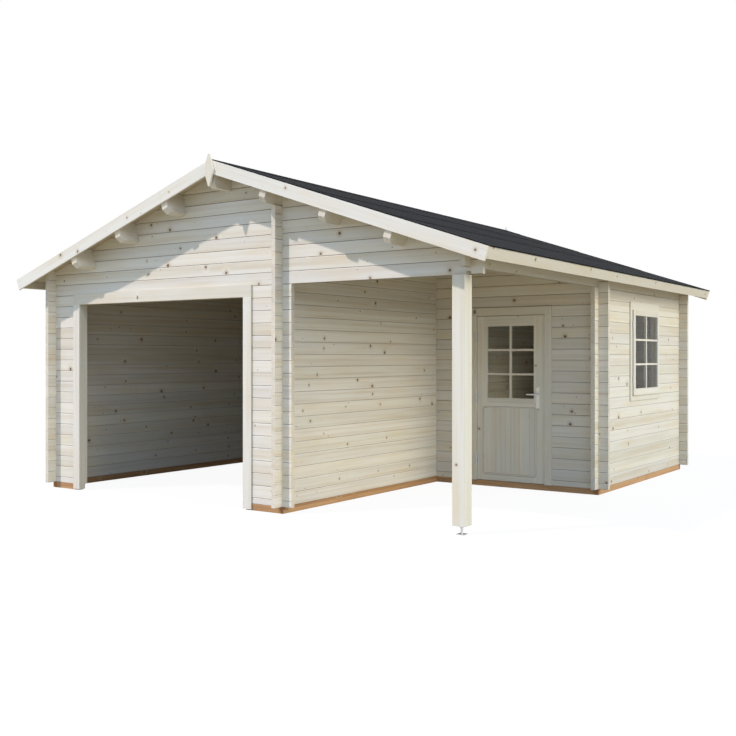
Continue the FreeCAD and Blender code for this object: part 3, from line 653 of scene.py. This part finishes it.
# The joinery: the door's leaf has stiles, three rails and a lower panel of upright tongued boards,
# and the window's sash has stiles and rails. Both are glazed behind bars.
stile = 0.117
sash_stile = 0.054
glass_low, glass_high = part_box("door_glass")
panel_low, panel_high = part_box("door_panel")
groove = 0.008
leaf_face = door_low.y
x0, x1 = panel_low.x + groove + 0.0004, panel_high.x - groove - 0.0004
z0, z1 = panel_low.z + groove + 0.0014, panel_high.z - groove - 0.0004
bead_half = 0.0055
bead_rise = 0.0045
bead_radius = 0.022
bead_x0, bead_x1 = x0 - 0.045, x1 + 0.018
bead_z0, bead_z1 = z0 - 0.015, z1
# Where the line of painted shade runs round the door's bead.
bead_line = {"Middle": (bead_x0 + bead_x1) / 2, "Centre": (bead_z0 + bead_z1) / 2,
             "Half_width": (bead_x1 - bead_x0) / 2, "Half_height": (bead_z1 - bead_z0) / 2,
             "Radius": bead_radius, "Half_line": bead_half, "Fade": 0.007}
leaf_gap_half = (door_high.x - door_low.x) / 2 - stile
sash_gap_half = (sash_high.y - sash_low.y) / 2 - sash_stile
dress(framed_material("door_leaf_spruce", "XZ", door_mid, half_gap=leaf_gap_half, board=0.0585, seed=191.0,
                      knots=0.6, ring=bead_line), "door_leaf")
dress(framed_material("window_sash_spruce", "YZ", sash_mid, half_gap=sash_gap_half, board=0.03, seed=211.0,
                      knots=0.5), "window_sash")

panel_boards = 10
panel_joint = 0.0006


def add_box(mesh, low, high, chamfer):
    """A rectangular stick with eased edges, from its low corner to its high one."""
    made = bmesh.ops.create_cube(mesh, size=1.0)["verts"]
    size = Vector(high) - Vector(low)
    for vert in made:
        vert.co = Vector(low) + Vector((size[i] * (vert.co[i] + 0.5) for i in range(3)))
    edges = {edge for vert in made for edge in vert.link_edges}
    bmesh.ops.bevel(mesh, geom=list(edges), offset=chamfer, segments=2, affect="EDGES", profile=0.6)


width = (x1 - x0) / panel_boards
mesh = bmesh.new()
for n in range(panel_boards):
    left = x0 + n * width
    for y_low, y_high in ((leaf_face + 0.001, panel_low.y), (panel_high.y, door_high.y - 0.001)):
        add_box(mesh, (left + panel_joint / 2, y_low, z0), (left + width - panel_joint / 2, y_high, z1),
                0.0013)
finished("door_panel_boards", mesh, "door")
material, tree, surface, spot, place = start_material("panel_board_spruce")
turned = put(tree, "ShaderNodeCombineXYZ", place[2], place[0], place[1]).outputs[0]
lane = use(tree, log_course, Place=turned, First_joint=x0, Course=width,
           Joint_half=0.0016, Wall=31.0)
wood = use(tree, spruce, Grain=lane["Grain"], Board=lane["Board"], Contrast=0.8, Knots=0.5, **planed)
# Faint painted shade in the joints between the panel's boards.
finish_wood(tree, surface, spot, wood, (0, 0, 1), lane["Joint"], end_tone=(0.96, 0.93, 0.88, 1),
            joint_shade=0.35)
dress(material, "door_panel", "door_panel_boards")


def bead_frame(mesh, low, high, y_face, y_back, wide):
    """A rounded bead round the inside of an opening in the XZ plane, from its face back to y_back."""
    way = 1 if y_back > y_face else -1
    profile = [(0.0, y_face + way * 0.001), (wide * 0.45, y_face + way * 0.0005)]
    for k in range(1, 6):
        angle = math.radians(18 * k)
        profile.append((wide * (0.45 + 0.55 * math.sin(angle)),
                        y_face + way * (0.0005 + 0.006 * (1 - math.cos(angle)))))
    profile += [(wide, y_back), (0.0, y_back)]
    corners = [(low[0], low[1], 1, 1), (high[0], low[1], -1, 1), (high[0], high[1], -1, -1),
               (low[0], high[1], 1, -1)]
    rings = [[mesh.verts.new((cx + sx * inset, y, cz + sz * inset)) for inset, y in profile]
             for cx, cz, sx, sz in corners]
    for a, b in zip(rings, rings[1:] + rings[:1]):
        for i in range(len(profile)):
            j = (i + 1) % len(profile)
            mesh.faces.new((a[i], a[j], b[j], b[i]))


mesh = bmesh.new()
gx0, gx1 = glass_low.x + groove, glass_high.x - groove
gz0, gz1 = glass_low.z + groove + 0.001, glass_high.z - groove
for face, back in ((leaf_face + 0.002, glass_low.y), (door_high.y - 0.002, glass_high.y)):
    bead_frame(mesh, (gx0, gz0), (gx1, gz1), face, back, 0.004)


def bead_ring(mesh, face, way):
    """A half-round bead planted on the leaf round its panel, with rounded corners."""
    left, right = bead_x0 + bead_radius, bead_x1 - bead_radius
    low, high = bead_z0 + bead_radius, bead_z1 - bead_radius
    rings = []
    for cx, cz, turn in ((right, low, -90), (right, high, 0), (left, high, 90), (left, low, 180)):
        for k in range(7):
            angle = math.radians(turn + 15 * k)
            ring = []
            for j in range(9):
                bend = math.pi * j / 8
                reach = bead_radius + bead_half * math.cos(bend)
                ring.append(mesh.verts.new((cx + reach * math.cos(angle),
                                            face + way * bead_rise * math.sin(bend),
                                            cz + reach * math.sin(angle))))
            rings.append(ring)
    for a, b in zip(rings, rings[1:] + rings[:1]):
        for i in range(9):
            j = (i + 1) % 9
            mesh.faces.new((a[i], a[j], b[j], b[i]))


for face, way in ((leaf_face, -1), (door_high.y, 1)):
    bead_ring(mesh, face, way)
bar_half = 0.0112
bar_ease = 0.003


def glazing_bars(mesh, middle, upright_half, overlap, low, high, near, far):
    """One upright bar and two across on each side of it, between the low and high corners."""
    add_box(mesh, (middle - upright_half, near, low[1] + bar_ease),
            (middle + upright_half, far, high[1] - bar_ease), bar_ease)
    for z in (low[1] + (high[1] - low[1]) / 3, low[1] + 2 * (high[1] - low[1]) / 3):
        for start, end in ((low[0] + bar_ease, middle - upright_half + overlap),
                           (middle + upright_half - overlap, high[0] - bar_ease)):
            add_box(mesh, (start, near + 0.0004, z - bar_half), (end, far, z + bar_half), bar_ease)


for near, far in ((leaf_face + 0.007, glass_low.y), (glass_high.y, door_high.y - 0.007)):
    glazing_bars(mesh, door_mid, bar_half, 0.001, (gx0, gz0), (gx1, gz1), near, far)
finished("door_beads_and_bars", mesh, "door")
dress(framed_material("door_bead_spruce", "XZ", door_mid, seed=223.0, knots=0.0), "door_beads_and_bars")

# The window's bars and beads, made like the door's but in the right wall, and two small lift-off
# hinges on the sash's front edge.
pane_low, pane_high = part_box("window_glass")
wy0, wy1 = pane_low.y + groove, pane_high.y - groove
wz0, wz1 = pane_low.z + groove + 0.001, pane_high.z - groove
mesh = bmesh.new()
for face, back in ((-sash_high.x + 0.002, -pane_high.x), (-sash_low.x - 0.002, -pane_low.x)):
    bead_frame(mesh, (wy0, wz0), (wy1, wz1), face, back, 0.004)
for near, far in ((-sash_high.x + 0.005, -pane_high.x), (-pane_low.x, -sash_low.x - 0.005)):
    glazing_bars(mesh, sash_mid, 0.0125, 0.001, (wy0, wz0), (wy1, wz1), near, far)
bmesh.ops.transform(mesh, matrix=Matrix(((0, -1, 0, 0), (1, 0, 0, 0), (0, 0, 1, 0), (0, 0, 0, 1))),
                    verts=mesh.verts)
finished("window_beads_and_bars", mesh, "building")
dress(framed_material("window_bead_spruce", "YZ", sash_mid, seed=229.0, knots=0.0), "window_beads_and_bars")

mesh = bmesh.new()
hinge_x = sash_high.x - 0.010
for z in (sash_low.z + 0.17, sash_high.z - 0.17):
    for low, high, radius in ((-0.032, -0.001, 0.0055), (0.001, 0.032, 0.0055), (-0.036, 0.036, 0.0032)):
        turned = Matrix.Translation((hinge_x, sash_low.y - 0.0035, z + (low + high) / 2))
        bmesh.ops.create_cone(mesh, cap_ends=True, segments=20, radius1=radius, radius2=radius,
                              depth=high - low, matrix=turned)
    add_box(mesh, (hinge_x - 0.001, sash_low.y - 0.003, z + 0.002),
            (hinge_x + 0.0095, sash_low.y - 0.0002, z + 0.030), 0.0004)
    add_box(mesh, (hinge_x - 0.012, sash_low.y - 0.009, z - 0.030),
            (hinge_x + 0.001, sash_low.y - 0.0035, z - 0.002), 0.0004)
finished("window_hinges", mesh, "building")
dress(zinc, "window_hinges")

# The glass in the door and the window: clear 4 mm float glass, set in the rebates behind the beads.
# It is a little dusty, which shows as a rougher gloss in patches.
material, tree, surface, spot, place = start_material("float_glass")
dust = noise(tree, spot["Object"], 9.0, 5.0)
tree.links.new(ease(tree, dust, 0.4, 0.8, 0.01, 0.07), surface.inputs["Roughness"])
surface.inputs["Base Color"].default_value = (0.88, 0.90, 0.88, 1)
surface.inputs["Transmission Weight"].default_value = 1.0
surface.inputs["IOR"].default_value = 1.10
dress(material, "door_glass", "window_glass")

# The screws: small countersunk zinc heads that hold the casings and the roof's edge boards. Each has
# a turned-in recess.
screw_radius = 0.0042


def screw_tree():
    """Sets one screw head on every point it is given, turned to face outwards."""
    tree = bpy.data.node_groups.new("screw_heads", "GeometryNodeTree")
    for name, kind in (("Points", "Geometry"), ("Radius", "Float"), ("Turn", "Vector"),
                       ("Finish", "Material")):
        tree.interface.new_socket(name, in_out="INPUT", socket_type="NodeSocket" + kind)
    tree.interface.new_socket("Screws", in_out="OUTPUT", socket_type="NodeSocketGeometry")
    taken = tree.nodes.new("NodeGroupInput").outputs
    given = tree.nodes.new("NodeGroupOutput").inputs
    head = put(tree, "GeometryNodeMeshCylinder", fill_type="NGON")
    head.inputs["Vertices"].default_value = 14
    tree.links.new(taken["Radius"], head.inputs["Radius"])
    tree.links.new(sum_of(tree, "MULTIPLY", taken["Radius"], 0.4), head.inputs["Depth"])
    shrink = put(tree, "GeometryNodeExtrudeMesh", head.outputs["Mesh"], mode="FACES")
    tree.links.new(head.outputs["Top"], shrink.inputs["Selection"])
    shrink.inputs["Offset Scale"].default_value = 0.0
    scaled = put(tree, "GeometryNodeScaleElements", shrink.outputs["Mesh"], domain="FACE")
    tree.links.new(shrink.outputs["Top"], scaled.inputs["Selection"])
    scaled.inputs["Scale"].default_value = 0.45
    sunk = put(tree, "GeometryNodeExtrudeMesh", scaled.outputs["Geometry"], mode="FACES")
    tree.links.new(shrink.outputs["Top"], sunk.inputs["Selection"])
    tree.links.new(sum_of(tree, "MULTIPLY", taken["Radius"], -0.3), sunk.inputs["Offset Scale"])
    spread = put(tree, "GeometryNodeInstanceOnPoints")
    tree.links.new(taken["Points"], spread.inputs["Points"])
    tree.links.new(sunk.outputs["Mesh"], spread.inputs["Instance"])
    tree.links.new(taken["Turn"], spread.inputs["Rotation"])
    real = put(tree, "GeometryNodeRealizeInstances", spread.outputs[0])
    done = put(tree, "GeometryNodeSetMaterial", real.outputs[0])
    tree.links.new(taken["Finish"], done.inputs["Material"])
    tree.links.new(done.outputs[0], given["Screws"])
    return tree


screw_heads = screw_tree()


def set_screws(name, points, turn, body, finish):
    """Turns points into screw heads with the tree, and keeps the result as a plain mesh."""
    seed = bpy.data.meshes.new(name + "_points")
    seed.from_pydata([tuple(point) for point in points], [], [])
    holder = bpy.data.objects.new(name + "_points", seed)
    bpy.context.scene.collection.objects.link(holder)
    step = holder.modifiers.new("screws", "NODES")
    step.node_group = screw_heads
    values = {"Radius": screw_radius, "Turn": turn, "Finish": finish}
    for item in screw_heads.interface.items_tree:
        if item.in_out == "INPUT" and item.name in values:
            step[item.identifier] = values[item.name]
    ready = holder.evaluated_get(bpy.context.evaluated_depsgraph_get())
    made = bpy.data.objects.new(name, bpy.data.meshes.new_from_object(ready))
    bpy.data.objects.remove(holder)
    bpy.context.scene.collection.objects.link(made)
    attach(made, body)


facing_front = (math.radians(90), 0.0, 0.0)
facing_right = (0.0, math.radians(90), 0.0)
garage_casing_middle = 0.049
casing_low, casing_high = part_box("garage_casing")
points = []
for x in (casing_low.x + garage_casing_middle, casing_high.x - garage_casing_middle):
    points += [(x + dx, casing_low.y, z) for z in (0.12, 0.58, 1.04, 1.50, 1.90) for dx in (-0.026, 0.026)]
head_step = (casing_high.x - casing_low.x - 0.3) / 5
points += [(casing_low.x + 0.15 + n * head_step, casing_low.y, opening_head + dz)
           for n in range(6) for dz in (0.03, 0.085)]
barge_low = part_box("bargeboards_front")[0]
for side in (-1, 1):
    for down in (0.10, purlin_step, 2 * purlin_step, 3 * purlin_step, slope_end - 0.05):
        for below in (0.03, 0.085):
            points.append(slope_point(side, down, below, barge_low.y))
case_low, case_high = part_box("door_casing")
for x in (case_low.x + 0.04, case_high.x - 0.04):
    points += [(x, case_low.y, z) for z in (0.14, 0.72, 1.30, 1.80)]
head_step = (case_high.x - case_low.x - 0.16) / 3
points += [(case_low.x + 0.08 + n * head_step, case_low.y, case_high.z - 0.043) for n in range(4)]
set_screws("front_screws", points, facing_front, "building", zinc)
plate_low, plate_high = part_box("lock_plates")
plate_mid = (plate_low.x + plate_high.x) / 2
set_screws("lock_plate_screws", [(plate_mid, plate_low.y, plate_low.z + 0.012),
                                 (plate_mid, plate_low.y, plate_high.z - 0.012)], facing_front, "door", satin)
frame_low, frame_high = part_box("window_casing")
points = []
for y in (frame_low.y + 0.025, frame_high.y - 0.025):
    points += [(frame_high.x, y, z) for z in (frame_low.z + 0.028, 1.26, 1.62, frame_high.z - 0.045)]
points += [(frame_high.x, sash_mid + dy, z) for dy in (-0.22, 0.22)
           for z in (frame_low.z + 0.028, frame_high.z - 0.045)]
set_screws("window_casing_screws", points, facing_right, "building", zinc)

# The lock: a profile cylinder under the lever, which stands a little out of its long plate on both
# faces of the door.
handle_height = 1.01
cylinder_drop = 0.072
mesh = bmesh.new()
key_z = handle_height - cylinder_drop
for y, out in ((plate_low.y, -1), (plate_high.y, 1)):
    turned = Matrix.Translation((plate_mid, y + out * 0.0015, key_z))
    turned @= Matrix.Rotation(math.radians(90), 4, "X")
    bmesh.ops.create_cone(mesh, cap_ends=True, segments=28, radius1=0.0085, radius2=0.0085, depth=0.005,
                          matrix=turned)
    add_box(mesh, (plate_mid - 0.005, min(y, y + out * 0.004), key_z - 0.024),
            (plate_mid + 0.005, max(y, y + out * 0.004), key_z - 0.004), 0.001)
finished("lock_cylinder", mesh, "door")
dress(satin, "lock_cylinder")
# The key slot: a near-black sliver in front of each cylinder, painted shade where the slot's hollow would be.
mesh = bmesh.new()
for y, out in ((plate_low.y, -1), (plate_high.y, 1)):
    near = y + out * 0.0036
    far = y + out * 0.0043
    add_box(mesh, (plate_mid - 0.0009, min(near, far), key_z - 0.0045),
            (plate_mid + 0.0009, max(near, far), key_z + 0.0045), 0.0001)
finished("key_slot", mesh, "door")
material, tree, surface, spot, place = start_material("dark_slot")
keyhole_shade_noise = noise(tree, spot["Object"], 900.0)
tree.links.new(colour_mix(tree, keyhole_shade_noise, (0.012, 0.012, 0.012, 1), (0.03, 0.03, 0.03, 1)),
               surface.inputs["Base Color"])
tree.links.new(ease(tree, keyhole_shade_noise, 0.3, 0.7, 0.6, 0.8), surface.inputs["Roughness"])
dress(material, "key_slot")

# The floor it stands on, the light and the camera: a plain pale floor, sun from the front left, a
# broad soft light from the right, and pale sky all round.
def seen_straight(tree, ray):
    """1 for what the camera sees, also in gloss and through glass."""
    return sum_of(tree, "MAXIMUM", ray["Is Camera Ray"],
                  sum_of(tree, "MAXIMUM", ray["Is Glossy Ray"], ray["Is Transmission Ray"]))


mesh = bmesh.new()
bmesh.ops.create_grid(mesh, x_segments=1, y_segments=1, size=60.0)
floor = bpy.data.objects.new("floor", bpy.data.meshes.new("floor"))
mesh.to_mesh(floor.data)
mesh.free()
bpy.context.scene.collection.objects.link(floor)
material, tree, surface, spot, place = start_material("pale_floor")
surface.inputs["Roughness"].default_value = 0.9
ray = put(tree, "ShaderNodeLightPath").outputs
tree.links.new(colour_mix(tree, ray["Is Camera Ray"], (0.31, 0.28, 0.19, 1), (0.90, 0.90, 0.90, 1)),
               surface.inputs["Base Color"])
plain = put(tree, "ShaderNodeEmission", (1, 1, 1, 1), 1.0)
mixed = put(tree, "ShaderNodeMixShader", sum_of(tree, "MULTIPLY", seen_straight(tree, ray), 0.94),
            surface.outputs[0], plain.outputs[0])
tree.links.new(mixed.outputs[0], tree.nodes["Material Output"].inputs["Surface"])
floor.data.materials.append(material)

world = bpy.data.worlds.new("pale_sky")
bpy.context.scene.world = world
world.use_nodes = True
tree = world.node_tree
tree.nodes.clear()
ray = put(tree, "ShaderNodeLightPath").outputs
sky = put(tree, "ShaderNodeBackground", (0.67, 0.905, 1.30, 1), 0.84)
white = put(tree, "ShaderNodeBackground", (1, 1, 1, 1), 1.0)
mixed = put(tree, "ShaderNodeMixShader", seen_straight(tree, ray), sky.outputs[0], white.outputs[0])
put(tree, "ShaderNodeOutputWorld", mixed.outputs[0])


def add_sun(name, travel, strength, spread, colour):
    lamp = bpy.data.lights.new(name, "SUN")
    lamp.energy = strength
    lamp.angle = math.radians(spread)
    lamp.color = colour
    made = bpy.data.objects.new(name, lamp)
    bpy.context.scene.collection.objects.link(made)
    made.rotation_mode = "QUATERNION"
    made.rotation_quaternion = Vector(travel).to_track_quat("-Z", "Y")


add_sun("sun", (0.3746, 0.4957, -0.7835), 2.9, 1.5, (1.0, 0.907, 0.90))
add_sun("soft_fill", (-0.93, -0.04, -0.37), 1.76, 36.0, (1.0, 0.912, 0.72))

lens = bpy.data.cameras.new("camera")
lens.lens = 47.37
lens.sensor_width = 36.0
lens.shift_y = -0.0153
lens.clip_start, lens.clip_end = 0.1, 200.0
camera = bpy.data.objects.new("camera", lens)
bpy.context.scene.collection.objects.link(camera)
camera.location = (6.1704, -9.4924, 1.4074)
camera.rotation_euler = (math.radians(90), 0.0, math.radians(34.355))
bpy.context.scene.camera = camera
bpy.context.scene.view_settings.view_transform = "Standard"
